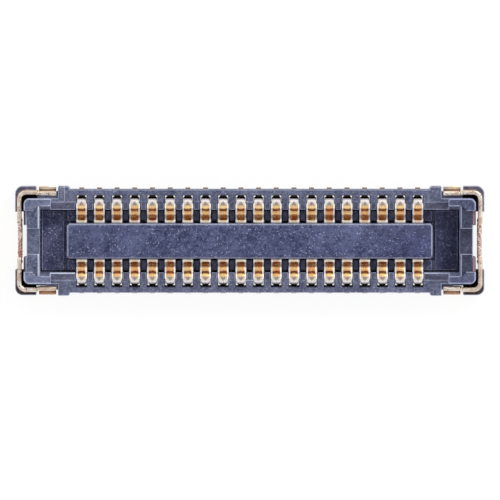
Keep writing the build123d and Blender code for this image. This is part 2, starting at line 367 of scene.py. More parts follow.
# %% [markdown]
# The contacts are copper alloy with nickel and gold over it. The colour along the strip paints most of
# their light and shade: a near white painted highlight on the neck, a rich painted highlight on the inner
# side of the bend, painted shade where the strip drops behind it and on the outer leg in its slot, and
# orange from the lock bump through the trough, with a bright painted highlight on the bump. Both edges
# and the tip carry a pale painted highlight, and there the metal is drawn less like a mirror. Each contact
# stores how far along the strip a point lies and how far across, so the finish follows the metal and not
# the space round it.

# %% The gold of the contacts
# Stops along the run: the near white ones on the neck and the tip, and the bright ones on the bend and the
# lock bump, are painted highlights; the dark ones on the outer leg, behind the bend and just before the tip
# are painted shade.
CONTACT_TONES_AND_LIGHT = (
    (0.00, (178, 158, 142)),
    (0.20, (150, 120, 80)),
    (0.86, (96, 74, 50)),
    (0.90, (255, 252, 254)),
    (0.96, (255, 250, 250)),
    (1.046, (254, 240, 228)),
    (1.070, (255, 214, 140)),
    (1.110, (255, 198, 116)),
    (1.122, (104, 50, 10)),
    (1.290, (116, 60, 16)),
    (1.308, (250, 178, 112)),
    (1.375, (255, 214, 156)),
    (1.410, (240, 156, 86)),
    (1.700, (236, 146, 74)),
    (STRIP_LENGTH - 0.016, (140, 84, 32)),
    (STRIP_LENGTH - 0.006, (255, 246, 228)),
)
# SMILE bends the band of painted shade behind the bend so that it starts earlier at the edges.
SMILE, SMILE_END = 0.085, 1.15
DEEP_GOLD, DEEPEST = shade(206, 104, 56), 0.45
SMEAR_GOLD, SMEAR_SHARE, SMEAR_SCALE = shade(255, 226, 160), 0.6, 15.0
SMEAR_LEAN, SMEAR_RUN = (0.7, (1.0, 0.6, 0.5)), (1.26, 1.32)
PATCH_START, PATCH_END, PATCH_SHOWS = 0.952, 1.046, 0.75
PATCH_TONES = (shade(186, 122, 84), shade(150, 146, 92))
COINED_RUN = (0.60, 0.80)
MARGIN_INSIDE, MARGIN_OUTSIDE, MARGIN_HIGHLIGHT = 0.66, 0.74, shade(255, 252, 250)
NECK_END, SPRING_METAL, PALE_HIGHLIT_METAL = 0.955, 0.62, 0.15
ROLLING_SCALE, ROLLING_STRETCH = 60.0, (1.0, 0.12, 0.12)


def contact_finish():
    """Plating colour with painted highlights and shade along the strip, pale painted highlights on the
    edges, a worn patch on the bend and rolling marks.
    """
    made, tree = new_material("contact_gold")
    space = in_millimetres(tree)
    run = add(tree, "ShaderNodeAttribute", attribute_name="run").outputs["Fac"]
    across = add(tree, "ShaderNodeAttribute", attribute_name="across").outputs["Fac"]
    own = add(tree, "ShaderNodeAttribute", attribute_name="own_tone").outputs["Fac"]
    side = maths(tree, "ABSOLUTE", across)
    curve = product(tree, side, side, SMILE)
    curved = maths(tree, "ADD", run, product(tree, curve, ranged(tree, run, SMILE_END, SMILE_END - 0.05)))
    ramp = add(tree, "ShaderNodeValToRGB", {"Fac": maths(tree, "DIVIDE", curved, STRIP_LENGTH)})
    band = ramp.color_ramp
    band.elements[0].position, band.elements[0].color = 0.0, shade(*CONTACT_TONES_AND_LIGHT[0][1])
    band.elements[1].position, band.elements[1].color = 1.0, shade(*CONTACT_TONES_AND_LIGHT[-1][1])
    for place, colour in CONTACT_TONES_AND_LIGHT[1:-1]:
        band.elements.new(place / STRIP_LENGTH).color = shade(*colour)
    zoned = ramp.outputs["Color"]
    deeper = product(tree, ranged(tree, own, 0.3, 1.0), ranged(tree, run, 1.04, 1.06, 0.0, DEEPEST))
    own_shift = blend(tree, deeper, zoned, DEEP_GOLD)
    smear = ranged(tree, grain(tree, stretched(tree, space, *SMEAR_LEAN), SMEAR_SCALE, 1.0), 0.50, 0.62)
    smear = product(tree, smear, ranged(tree, run, *SMEAR_RUN), SMEAR_SHARE)
    smeared = blend(tree, smear, own_shift, SMEAR_GOLD)
    reach = ranged(tree, run, PATCH_START, PATCH_END, 0.12, 0.50)
    worn = ranged(tree, maths(tree, "SUBTRACT", side, reach), 0.12, -0.06)
    worn = product(tree, worn, ranged(tree, run, PATCH_START, PATCH_START + 0.02))
    worn = product(tree, worn, ranged(tree, run, PATCH_END, PATCH_END - 0.012))
    patched = blend(tree, product(tree, worn, PATCH_SHOWS), smeared, blend(tree, own, *PATCH_TONES))
    # The pale margins, the neck and the tip are painted highlights, and the metal is drawn less like a
    # mirror there so that the pale colour shows.
    coined = ranged(tree, run, *COINED_RUN)
    margin = product(tree, ranged(tree, side, MARGIN_INSIDE, MARGIN_OUTSIDE), coined)
    pale = blend(tree, margin, patched, MARGIN_HIGHLIGHT)
    neck = product(tree, ranged(tree, run, NECK_END + 0.015, NECK_END), coined)
    tip = ranged(tree, run, STRIP_LENGTH - 0.018, STRIP_LENGTH - 0.008)
    pale_highlit = largest(tree, margin, neck, tip)
    rolling = grain(tree, stretched(tree, space, 0.0, ROLLING_STRETCH), ROLLING_SCALE, 2.0)
    finish_with(tree, {
        "Base Color": pale,
        "Metallic": ranged(tree, pale_highlit, 0.0, 1.0, SPRING_METAL, PALE_HIGHLIT_METAL),
        "Roughness": ranged(tree, rolling, 0.3, 0.7, 0.22, 0.36),
        "Normal": bumped(tree, rolling, 0.25, 0.002),
    })
    return made


contact_gold = contact_finish()

# %% [markdown]
# The hold-downs are wider strip with a thin flash of gold, so they look like pale champagne. The edge
# that faces up is the blanked one: it has a fine grain, small pits, and a middle that was torn off its
# carrier, where the base metal shows pinkish brown.

# %% The strip of the hold-downs
STRIP_METAL = 0.7
# Painted shade: a dark line in the crease between each foot and its arm, and darker, browner feet at -Y.
CREASE_SHADE_LINE, CREASE_SHADE_TONE = (1.148, 1.160), shade(110, 68, 40)
SHADED_SIDE_SPAN, SHADED_SIDE_TINT = (0.1, -0.1), (0.66, 0.46, 0.37, 1.0)


def strip_finish(name, pale, deep, pit, pit_share, roughness, reach, painted_shade):
    """Thin gold flash over nickel: two tones, fine grain, small dark pits, and, where asked, painted shade
    in the crease by the arm and on the feet at -Y.
    """
    made, tree = new_material(name)
    space = in_millimetres(tree)
    clouds = grain(tree, space, 6.0, 3.0)
    fine = grain(tree, space, 38.0, 3.0, 0.7)
    tone = maths(tree, "ADD", product(tree, clouds, 0.5), product(tree, fine, 0.5))
    colour = blend(tree, ranged(tree, tone, 0.5 - reach, 0.5 + reach), shade(*deep), shade(*pale))
    pits = product(tree, flecks(tree, space, 13.0, 0.32), ranged(tree, clouds, 0.40, 0.50))
    colour = blend(tree, product(tree, pits, pit_share), colour, shade(*pit))
    if painted_shade:
        place = add(tree, "ShaderNodeSeparateXYZ", {"Vector": space}).outputs["Y"]
        colour = tinted(tree, colour, blend(tree, ranged(tree, place, *SHADED_SIDE_SPAN), (1.0,) * 4, SHADED_SIDE_TINT))
        beyond = ranged(tree, maths(tree, "ABSOLUTE", place), *CREASE_SHADE_LINE)
        colour = blend(tree, beyond, CREASE_SHADE_TONE, colour)
    finish_with(tree, {
        "Base Color": colour,
        "Metallic": STRIP_METAL,
        "Roughness": ranged(tree, fine, 0.3, 0.7, roughness - 0.08, roughness + 0.1),
        "Normal": bumped(tree, fine, 0.6, 0.004),
    })
    return made


# Each row: pale tone, deep tone, pit, how strongly the pits show, roughness, reach of the clouds, painted
# shade.
STRIP_TONES = (
    ("strip_gold", (246, 224, 190), (214, 182, 142), (150, 114, 84), 0.3, 0.34, 0.20, False),
    ("strip_edge", (255, 250, 240), (222, 194, 170), (104, 76, 62), 1.0, 0.36, 0.08, False),
    ("torn_metal", (255, 240, 234), (176, 120, 104), (70, 38, 34), 1.0, 0.45, 0.08, False),
    ("foot_gold", (255, 252, 240), (244, 218, 186), (120, 84, 56), 0.5, 0.40, 0.10, True),
    # The rolled faces between side and edge take a darker copy of the gold: painted shade.
    ("strip_roll_shaded", (206, 172, 140), (146, 108, 84), (90, 60, 44), 0.5, 0.36, 0.08, False),
)
STRIP_FINISHES = [strip_finish(*tones) for tones in STRIP_TONES]
STRIP_SIDE, STRIP_EDGE, TORN, FOOT, ROLLED = range(len(STRIP_FINISHES))
print("metal finishes:", contact_gold.name + ",", ", ".join(finish.name for finish in STRIP_FINISHES))

# %% [markdown]
# A moulding has no sharp outer edge: the steel of the mould is polished along its corners, and each
# arris catches a thin line of light. The solid's triangles are merged into flat faces first, then only
# the edges that stick out are bevelled, and the bevel gets a lighter, smoother finish of its own, which
# paints that line of light as a highlight. Three small changes follow the photograph: the outer wall of
# the contact slots stands a little further out, a low block joins each end pad to the last ribs, and a
# shelf fills most of the gap under each arm.

# %% Bevelled copy of the housing
SHARP_EDGE = math.radians(29)
FLAT_JOIN = math.radians(0.5)
MERGE_DISTANCE = 0.00005
ARRIS_WIDTH = 0.017
RIM_ARRIS_WIDTH = 0.032
SLOT_ARRIS_WIDTH = 0.012
CHAMFER_TILT = (0.5, 0.85)
SLOPE_TILT = (0.85, 0.98)
FACES_UP, UPRIGHT, OUTWARD, NEARLY_LEVEL = 0.5, 0.1, 0.5, 0.9
LOW_STEP = ARRIS_WIDTH * 1.4
ISLAND_REACH = (4.14, 0.40)
INNER_REACH = (4.76, 0.72)
RIM_SLOPE_START = 4.73
BAR_REACH = (4.74, 0.72)
CORNER_START = (4.80, 0.64)
SLOT_REACH, SLOT_SIDE = 3.95, (0.46, 1.02)
FLOOR_LEVEL, RIB_LEVEL, CORNER_LEVEL, CHAMFER_LEVEL, RIM_LEVEL = 0.30, 0.22, 0.41, 0.69, 0.855
OPEN_END = 4.60
RIM_START, RIM_CORNER, RIM_REACH, RIM_OUTLINE = 4.48, (4.978, 0.838), 0.13, 0.9
SLOT_OUTER, SLOT_WORN, SNAP, ROUND_SLOT_MARGIN = 1.009, 1.031, 0.001, 0.02
# The first block takes the slopes' painted shade, and the shelf takes the rims' painted light.
BRIDGES = (
    (4.110, 4.205, 0.440, 0.674, 0.105, 0.195, SLOPE),
    (4.340, 4.800, 0.960, 1.021, 0.105, 0.720, RIM),
)


def finish_of(face):
    """Which of the housing's finishes a flat face takes, from its place and its tilt, so that lit and
    shaded copies paint light and shade.
    """
    centre = face.calc_center_median()
    x, y, z, up = abs(centre.x), abs(centre.y), centre.z, face.normal.z
    outward = face.normal.x * centre.x > OUTWARD or face.normal.y * centre.y > OUTWARD
    # Inward chamfers take the arrises' painted highlight, and near the ends the rims' painted shade.
    if CHAMFER_TILT[0] < up < CHAMFER_TILT[1] and z > CHAMFER_LEVEL and not outward:
        return RIM_SLOPE if x > RIM_SLOPE_START else ARRIS
    if x < ISLAND_REACH[0] and y < ISLAND_REACH[1] and z > FLOOR_LEVEL:
        return ARRIS if CHAMFER_TILT[0] < up < CHAMFER_TILT[1] else ISLAND
    # Faces that lean a little take the slopes' painted shade.
    if SLOPE_TILT[0] < up < SLOPE_TILT[1]:
        return SLOPE
    # Upward faces in the groove: the ribs take the paler copy, painted light.
    if x < INNER_REACH[0] and y < INNER_REACH[1] and z < FLOOR_LEVEL and up > FACES_UP:
        return RIB if z > RIB_LEVEL and x < SLOT_REACH else FLOOR
    # Upright faces in the slots take a near black painted shade.
    if x < SLOT_REACH and SLOT_SIDE[0] < y < SLOT_SIDE[1] and up < FACES_UP:
        return SLOT
    if x > BAR_REACH[0] and y < BAR_REACH[1] and z > CHAMFER_LEVEL:
        return CORNER if outward and abs(up) < NEARLY_LEVEL else BAR
    if x > CORNER_START[0] and y > CORNER_START[1] and z < CORNER_LEVEL:
        # Upward faces of the lower posts take painted shade.
        return LOW_CORNER if centre.y < 0 and up > FACES_UP else CORNER
    # High faces take the rims' painted light.
    return RIM if z > RIM_LEVEL else TOP


def tallness(face):
    """How tall an upright face is. A face that is not upright counts as tall."""
    if abs(face.normal.z) > UPRIGHT:
        return 1.0
    levels = [vertex.co.z for vertex in face.verts]
    return max(levels) - min(levels)


def add_block(shape, low, high, finish):
    """A plain block added to the moulding between two corners."""
    made = bmesh.ops.create_cube(shape, size=1.0)["verts"]
    for vertex in made:
        vertex.co = Vector([low[i] + (high[i] - low[i]) * (vertex.co[i] + 0.5) for i in range(3)])
    for face in {face for vertex in made for face in vertex.link_faces}:
        face.material_index = finish


LIP_BOX = ((4.74, 4.81), (0.28, 0.80), (0.80, 0.87))
PAD_BOX = ((4.60, 4.72), (0.0, 0.70), (0.12, 0.25))
INNER_LINE_BOX = ((3.90, 4.66), (0.69, 0.76), (0.66, 0.79))
ISLAND_SIDE_BOX = ((0.0, 4.10), (0.36, 0.41), (0.30, 0.90))
LEAD_IN_BOX = ((0.0, 4.30), (0.86, 0.90), (0.77, 0.81))
RIM_SIDE_BOX = ((4.40, 5.12), (0.935, 0.975), (0.82, 0.87))
RIM_END_BOX = ((5.06, 5.12), (0.70, 0.98), (0.82, 0.87))
BAR_END_BOX = ((5.03, 5.12), (0.0, 0.70), (0.60, 0.86))
SLOT_END_BOX = ((0.0, 3.95), (0.96, 1.06), (0.70, 0.87))
SLOT_NECK_BOX = ((0.0, 3.95), (0.84, 0.96), (0.70, 0.87))
# Bevel faces in these boxes swap the plain painted highlight for a brighter or a dimmer one, for the plain
# top tone, or for the slots' painted shade.
ARRIS_BOXES = (
    (SLOT_END_BOX, SLOT),
    (SLOT_NECK_BOX, TOP),
    (LIP_BOX, LIP),
    (PAD_BOX, PAD),
    (LEAD_IN_BOX, SOFT),
    (RIM_SIDE_BOX, OUTER),
    (RIM_END_BOX, OUTER),
)
# Bevels on the near side, which face the lamp, get a brighter or a dimmer painted highlight.
NEAR_SIDE_BOXES = ((INNER_LINE_BOX, LIP), (ISLAND_SIDE_BOX, SOFT))


def inside(place, box):
    """Whether a place lies in a box that is given for one quarter of the part."""
    return all(low < abs(value) < high for value, (low, high) in zip(place, box))


def on_rim_outline(middle):
    """Whether an edge's middle lies on the outer outline of a raised rim, its round corners included."""
    past = [max(0.0, abs(value) - corner) / RIM_REACH for value, corner in zip(middle, RIM_CORNER)]
    return middle.z > RIM_LEVEL and abs(middle.x) > RIM_START and math.hypot(*past) > RIM_OUTLINE


def arris_share(edge):
    """How much of the widest rounding an edge takes. Inner edges and low steps take none."""
    sharp = edge.is_manifold and edge.is_convex and edge.calc_face_angle(0.0) > SHARP_EDGE
    low_step = any(tallness(face) < LOW_STEP for face in edge.link_faces)
    chamfered = any(face.material_index == ARRIS for face in edge.link_faces)
    if not sharp or chamfered or low_step:
        return 0.0
    middle = (edge.verts[0].co + edge.verts[1].co) / 2
    if on_rim_outline(middle) or (inside(middle, INNER_LINE_BOX) and middle.y < 0):
        return 1.0
    beside_slot = SLOT_SIDE[0] < abs(middle.y) < SLOT_SIDE[1] + ROUND_SLOT_MARGIN
    round_slot = abs(middle.x) < SLOT_REACH and beside_slot
    return (SLOT_ARRIS_WIDTH if round_slot else ARRIS_WIDTH) / RIM_ARRIS_WIDTH


def bevelled_housing():
    """The housing's mesh in millimetres, merged into flat faces, with its outer edges rounded."""
    mesh = nodes["housing"].data.copy()
    mesh.transform(TO_MILLIMETRES)
    shape = bmesh.new()
    shape.from_mesh(mesh)
    bmesh.ops.remove_doubles(shape, verts=shape.verts, dist=MERGE_DISTANCE)
    bmesh.ops.dissolve_limit(shape, angle_limit=FLAT_JOIN, verts=shape.verts, edges=shape.edges)
    for vertex in shape.verts:
        if abs(abs(vertex.co.y) - SLOT_OUTER) < SNAP:
            vertex.co.y = math.copysign(SLOT_WORN, vertex.co.y)
    for face in shape.faces:
        face.smooth = True
        face.material_index = finish_of(face)
    weight = shape.edges.layers.float.new("bevel_weight_edge")
    for edge in shape.edges:
        edge[weight] = arris_share(edge)
    print("the housing rounds", sum(edge[weight] > 0 for edge in shape.edges), "edges")
    for x_low, x_high, y_low, y_high, z_low, z_high, finish in BRIDGES:
        for x_side in (1, -1):
            for y_side in (1, -1):
                reach = OPEN_END if finish == RIM and y_side < 0 else x_high
                xs, ys = sorted((x_side * x_low, x_side * reach)), sorted((y_side * y_low, y_side * y_high))
                add_block(shape, (xs[0], ys[0], z_low), (xs[1], ys[1], z_high), finish)
    mesh.materials.clear()
    shape.to_mesh(mesh)
    shape.free()
    for finish in HOUSING_FINISHES:
        mesh.materials.append(finish)
    holder = bpy.data.objects.new("bevel_holder", mesh)
    bpy.context.scene.collection.objects.link(holder)
    rounding = holder.modifiers.new("arris", "BEVEL")
    rounding.limit_method = "WEIGHT"
    rounding.width = RIM_ARRIS_WIDTH
    rounding.segments = 2
    rounding.use_clamp_overlap = False
    rounding.harden_normals = True
    rounding.material = ARRIS
    return evaluated_mesh(holder)


def arris_finish(face):
    """The finish of a face once the bevel is made: some bevels get a brighter painted highlight, some a
    dimmer one, some painted shade.
    """
    finish = face.material_index
    if finish == ARRIS:
        finish = next((other for box, other in ARRIS_BOXES if inside(face.center, box)), ARRIS)
    if face.center.x > 0 and finish in (ARRIS, CORNER) and inside(face.center, BAR_END_BOX):
        return SHADED
    if face.center.y < 0 and finish == ARRIS:
        finish = next((other for box, other in NEAR_SIDE_BOXES if inside(face.center, box)), ARRIS)
    return finish


housing_mesh = bevelled_housing()
for face in housing_mesh.polygons:
    face.material_index = arris_finish(face)
piece_from(housing_mesh, "moulded_housing", ["housing"])

# %% [markdown]
# A plain extrusion of the side view has dead flat faces and sharp sides. Sweeping a rounded section
# along the bent line gives edges that shine, and lets the section change on the way: the narrow tail,
# the neck, the full width, margins that fall away, and a slight crown on the bend.

# %% Sweep a strip along its line
STOCK = 0.075
CONTACT_WIDTH = 0.244
NECK_WIDTH = 0.207
TAIL_WIDTH = 0.115
ROLLED_EDGE = 0.010
MARGIN_START, MARGIN_FALL = 0.74, math.tan(math.radians(24))
TOP_COLUMNS = (0.83, 0.76, 0.70, 0.45, 0.20)
CROWN_REACH = 0.72
END_ROUND = ((0.0, 0.70), (0.004, 0.88), (0.010, 1.0))
THIN_END_ROLL = 0.6


def smooth_step(value, low, high):
    """0 below low, 1 above high, and an easy curve between."""
    part = min(max((value - low) / (high - low), 0.0), 1.0)
    return part * part * (3 - 2 * part)


def hump(value, low, peak_low, peak_high, high):
    """0 outside low and high, 1 between the two peaks."""
    return smooth_step(value, low, peak_low) * (1 - smooth_step(value, peak_high, high))


def section(half_width, half_stock, roll, crown, fall):
    """Points round the strip's section: a crowned top with margins that fall away, and a flat underside."""
    def level(x):
        off = max(0.0, abs(x) - MARGIN_START * half_width)
        rise = max(0.0, 1 - (x / (CROWN_REACH * half_width)) ** 2)
        return half_stock - off * fall + crown * rise

    flat = half_width - roll
    turns = (0.0, math.pi / 4, math.pi / 2)
    arc = [(flat + roll * math.cos(turn), roll * (math.sin(turn) - 1)) for turn in turns]
    right = [(x, level(flat) + drop) for x, drop in arc]
    columns = [share * half_width for share in TOP_COLUMNS]
    top = [(x, level(x)) for x in columns] + [(-x, level(x)) for x in reversed(columns)]
    under = [(flat + roll, roll - half_stock), (flat, -half_stock)]
    left = [(-x, y) for x, y in reversed(right)]
    return right + top + left + [(-x, y) for x, y in under] + under[::-1]


def swept_strip(line, stock, half_width_at, crown_at, fall_at):
    """A closed strip that follows a line in the plane X = 0, with its run and place across stored."""
    shape = bmesh.new()
    run_layer = shape.verts.layers.float.new("run")
    across_layer = shape.verts.layers.float.new("across")
    length = line[-1][2]
    round_run = END_ROUND[-1][0]
    (first, first_way, _), (last, last_way, _) = line[0], line[-1]
    stations = [(first + first_way * run, first_way, run, size) for run, size in END_ROUND]
    stations += [(place, way, run, 1.0) for place, way, run in line if round_run < run < length - round_run]
    stations += [(last - last_way * run, last_way, length - run, size) for run, size in reversed(END_ROUND)]
    rings = []
    for place, way, run, size in stations:
        normal = Vector((way.y, -way.x))
        half_stock = stock / 2 * size
        half_width = half_width_at(run) - (1 - size) * stock / 2
        roll = min(ROLLED_EDGE, half_stock * THIN_END_ROLL)
        ring = []
        for x, offset in section(half_width, half_stock, roll, crown_at(run), fall_at(run)):
            spot = place + normal * offset
            vertex = shape.verts.new((x, spot.x, spot.y))
            vertex[run_layer] = run
            vertex[across_layer] = x / half_width
            ring.append(vertex)
        rings.append(ring)
    for near, far in zip(rings, rings[1:]):
        for index, following in zip(range(len(near)), list(range(1, len(near))) + [0]):
            shape.faces.new((near[index], near[following], far[following], far[index]))
    shape.faces.new(rings[0][::-1])
    shape.faces.new(rings[-1])
    for face in shape.faces:
        face.smooth = True
    bmesh.ops.recalc_face_normals(shape, faces=shape.faces)
    mesh = bpy.data.meshes.new("swept_strip")
    shape.to_mesh(mesh)
    shape.free()
    return mesh


# %% One contact
NECK_STEP, FULL_STEP = (0.20, 0.23), (0.984, 0.999)
TIP_ROUND, TIP_CUT = 0.03, 0.008
CROWNS = (
    (0.011, (0.95, 1.01, 1.08, 1.11)),
    (0.005, (1.2, 1.25, 1.33, 1.4)),
    (-0.006, (1.5, 1.6, 2.1, 2.3)),
)
LEVEL_MARGINS, LEVEL_SHARE = (0.86, 0.90, 1.09, 1.13), 0.75


def contact_half_width(run):
    """Tail, neck and full width along the strip, and corners cut at the tip."""
    neck = smooth_step(run, *NECK_STEP)
    full = smooth_step(run, *FULL_STEP)
    tip = smooth_step(run, STRIP_LENGTH - TIP_ROUND, STRIP_LENGTH)
    width = TAIL_WIDTH + (NECK_WIDTH - TAIL_WIDTH) * neck + (CONTACT_WIDTH - NECK_WIDTH) * full
    return width / 2 - TIP_CUT * tip


def contact_crown(run):
    """A slight dome on the bend and on the lock bump, and a hollow in the trough."""
    return sum(height * hump(run, *reach) for height, reach in CROWNS)


def contact_margin_fall(run):
    """The coined margins lean outwards, least on the neck and the bend."""
    return MARGIN_FALL * (1 - LEVEL_SHARE * hump(run, *LEVEL_MARGINS))


one_contact = swept_strip(contact_line, STOCK, contact_half_width, contact_crown, contact_margin_fall)
print("one contact has", len(one_contact.polygons), "faces")

# %% [markdown]
# Forty equal contacts in two rows are a job for Geometry Nodes. A row of points twice as long as one row
# carries an instance each, and its second half is set as the other row, turned round. Every contact is
# turned by a hair, less than the eye can see, and a seeded random value is stored on each for its own
# tone. The instances are realized at the end, because an exported file knows nothing of instances.

# %% Two rows of contacts by Geometry Nodes
PITCH = 0.40
PER_ROW = len([name for name in nodes if name.startswith("contact_a_")])
ROW_SEED = 11
TONE_SEED_STEP = 7.0
ROW_LEAN = 0.002
ROW_INPUTS = (
    ("Pitch", "NodeSocketFloat", PITCH),
    ("Per Row", "NodeSocketInt", PER_ROW),
    ("Seed", "NodeSocketInt", ROW_SEED),
    ("Lean", "NodeSocketFloat", ROW_LEAN),
)


def live(sockets, name):
    """The enabled socket of a name, for nodes that keep one socket for each data type."""
    return next(socket for socket in sockets if socket.name == name and socket.enabled)


def random_between(tree, low, high, seed):
    """A seeded random number for each instance."""
    made = add(tree, "FunctionNodeRandomValue", data_type="FLOAT")
    for name, value in (("Min", low), ("Max", high), ("Seed", seed)):
        socket = live(made.inputs, name)
        if isinstance(value, bpy.types.NodeSocket):
            tree.links.new(value, socket)
        else:
            socket.default_value = value
    return live(made.outputs, "Value")


def row_tree(source):
    """Tree with named inputs that sets a contact at each place of two facing rows."""
    tree = bpy.data.node_groups.new("contact_rows", "GeometryNodeTree")
    tree.interface.new_socket("Geometry", in_out="INPUT", socket_type="NodeSocketGeometry")
    for name, kind, _ in ROW_INPUTS:
        tree.interface.new_socket(name, in_out="INPUT", socket_type=kind)
    tree.interface.new_socket("Geometry", in_out="OUTPUT", socket_type="NodeSocketGeometry")
    given = add(tree, "NodeGroupInput").outputs
    index = add(tree, "GeometryNodeInputIndex").outputs[0]
    count = product(tree, given["Per Row"], 2.0)
    places = add(tree, "GeometryNodePoints", {"Count": count}).outputs[0]
    other_row = maths(tree, "GREATER_THAN", index, maths(tree, "SUBTRACT", given["Per Row"], 0.5))
    in_row = maths(tree, "SUBTRACT", index, product(tree, other_row, given["Per Row"]))
    middle = maths(tree, "DIVIDE", maths(tree, "SUBTRACT", given["Per Row"], 1.0), 2.0)
    along = product(tree, maths(tree, "SUBTRACT", in_row, middle), given["Pitch"])
    position = add(tree, "ShaderNodeCombineXYZ", {"X": along}).outputs[0]
    placed = add(tree, "GeometryNodeSetPosition", {"Geometry": places, "Position": position}).outputs[0]
    lean = random_between(tree, product(tree, given["Lean"], -1.0), given["Lean"], given["Seed"])
    turn = maths(tree, "ADD", product(tree, other_row, math.pi), lean)
    spin = add(tree, "ShaderNodeCombineXYZ", {"Z": turn}).outputs[0]
    shape = add(tree, "GeometryNodeObjectInfo", {"Object": source}).outputs["Geometry"]
    put = add(tree, "GeometryNodeInstanceOnPoints", {"Points": placed, "Instance": shape, "Rotation": spin})
    tone = random_between(tree, 0.0, 1.0, maths(tree, "ADD", given["Seed"], TONE_SEED_STEP))
    values = {"Geometry": put.outputs[0], "Name": "own_tone"}
    store = add(tree, "GeometryNodeStoreNamedAttribute", values, data_type="FLOAT", domain="INSTANCE")
    tree.links.new(tone, live(store.inputs, "Value"))
    real = add(tree, "GeometryNodeRealizeInstances", {"Geometry": store.outputs[0]}).outputs[0]
    plated = add(tree, "GeometryNodeSetMaterial", {"Geometry": real, "Material": contact_gold}).outputs[0]
    add(tree, "NodeGroupOutput", {"Geometry": plated})
    return tree


source = bpy.data.objects.new("contact_source", one_contact)
holder = bpy.data.objects.new("row_holder", bpy.data.meshes.new("row_holder"))
for made in (source, holder):
    bpy.context.scene.collection.objects.link(made)
rows = holder.modifiers.new("rows", "NODES")
rows.node_group = row_tree(source)
chosen = {name: value for name, _, value in ROW_INPUTS}
for socket in rows.node_group.interface.items_tree:
    if socket.name in chosen:
        rows[socket.identifier] = chosen[socket.name]
rows_mesh = evaluated_mesh(holder)
bpy.data.objects.remove(source)
contact_names = sorted(name for name in nodes if name.startswith("contact_"))
piece_from(rows_mesh, "gold_contacts", contact_names)

# %% [markdown]
# Each hold-down is one strip that stands on edge and wraps an end of the housing. It was cut from its
# carrier at the middle, and that break is the roughest surface on the whole connector. A line in plan is
# swept with an upright section again, and seeded noise breaks up the top edge where it tore.

# %% The line of a hold-down, in plan
STRIP_THICKNESS = 0.095
STRIP_FOOT, STRIP_TOP = 0.10, 0.78
ARM_Y, END_Y, END_X = 1.0755, 1.0975, 5.2075
TORN_HALF, TORN_END, TORN_X = 0.36, 0.44, 5.1875
HALF_LINE = (
    ((4.381, ARM_Y), 0.0),
    ((4.736, ARM_Y), 0.10),
    ((4.826, END_Y), 0.10),
    ((END_X, END_Y), 0.1475),
    ((END_X, TORN_END), 0.08),
    ((TORN_X, TORN_HALF), 0.08),
)
other_half = tuple(((x, -y), radius) for (x, y), radius in reversed(HALF_LINE))
strip_line = rounded_line(HALF_LINE + other_half, math.radians(7), 0.016)
print("a hold-down is", round(strip_line[-1][2], 2), "mm of strip, drawn with", len(strip_line), "sections")

# %% Sweep the strip and tear its middle
EDGE_COLUMNS = 7
TEAR_DROP, TEAR_ROUGH, TEAR_RAGGED, TEAR_SHOWS = 0.034, 0.028, 0.014, 0.4
TEAR_FADE = (TORN_HALF - 0.03, TORN_END - 0.02)
BLANKED_ROUGH, EDGE_ROLL, OUTER_ROLL, INNER_ROLL = 0.0035, 0.014, 0.75, 1.7
FLAT_SHARE, EDGE_INSET = 0.5, 0.3
BURR_REACH, BURR_ALONG = 0.030, (0.40, 0.44, 0.45, 0.56)
BURR_TOP, BURR_FOOT, BURR_SLIM, INNER_RISE = 0.09, 0.16, 0.6, 0.2
OUTER_GRAIN, EDGE_GRAIN, INNER_GRAIN, HEIGHT_GRAIN = 23.0, 27.0, 25.0, 30.0
EDGE_SEED, INNER_SEED, HEIGHT_SEED = 9, 2, 5
END_THINNED, END_REACH = 0.25, 0.02


def rough(place, scale, seed):
    """Noise between about -1 and 1 at a place in millimetres."""
    return noise.noise(Vector((place[0] * scale, place[1] * scale, seed)))


def strip_section(place, way, seed, end_size):
    """The upright section at a place of the line, from the outer foot over the top to the inner foot."""
    normal = Vector((way.y, -way.x))
    if normal.dot(place) < 0:
        normal = -normal
    torn = 1 - smooth_step(abs(place.y), *TEAR_FADE)
    half = STRIP_THICKNESS / 2 * end_size
    roll = EDGE_ROLL * end_size
    points = []

    def put(offset, level, kind):
        spot = place + normal * offset
        points.append((spot.x, spot.y, level, kind))

    ragged = torn * TEAR_RAGGED
    burr = BURR_REACH * hump(abs(place.y), *BURR_ALONG)
    burr_kind = TORN if burr > 0 else STRIP_SIDE
    edge_kind = TORN if torn > TEAR_SHOWS else STRIP_EDGE
    top = STRIP_TOP - torn * TEAR_DROP
    shoulder = top - TEAR_ROUGH * torn
    put(half, STRIP_FOOT, STRIP_SIDE)
    put(half, (STRIP_FOOT + STRIP_TOP) / 2, STRIP_SIDE)
    put(half + ragged * rough(place, OUTER_GRAIN, seed), shoulder - roll, STRIP_SIDE)
    for column in range(EDGE_COLUMNS):
        share = 1 - 2 * column / (EDGE_COLUMNS - 1)
        offset = share * (half - roll * EDGE_INSET)
        spot = place + normal * offset
        past = max(0.0, abs(share) - FLAT_SHARE) / (1 - FLAT_SHARE)
        fall = roll * (OUTER_ROLL if share > 0 else INNER_ROLL) * past
        height = (BLANKED_ROUGH + TEAR_ROUGH * torn) * rough(spot, HEIGHT_GRAIN, seed + HEIGHT_SEED)
        put(offset + ragged * rough(spot, EDGE_GRAIN, seed + EDGE_SEED), top - fall + height, edge_kind)
    inner = -half + ragged * rough(place, INNER_GRAIN, seed + INNER_SEED)
    put(inner, shoulder - roll * INNER_ROLL, STRIP_SIDE)
    put(-half - burr * BURR_SLIM, top - BURR_TOP, burr_kind)
    put(-half - burr, top - BURR_FOOT, burr_kind)
    put(-half, STRIP_FOOT + INNER_RISE, STRIP_SIDE)
    put(-half, STRIP_FOOT, STRIP_SIDE)
    return points


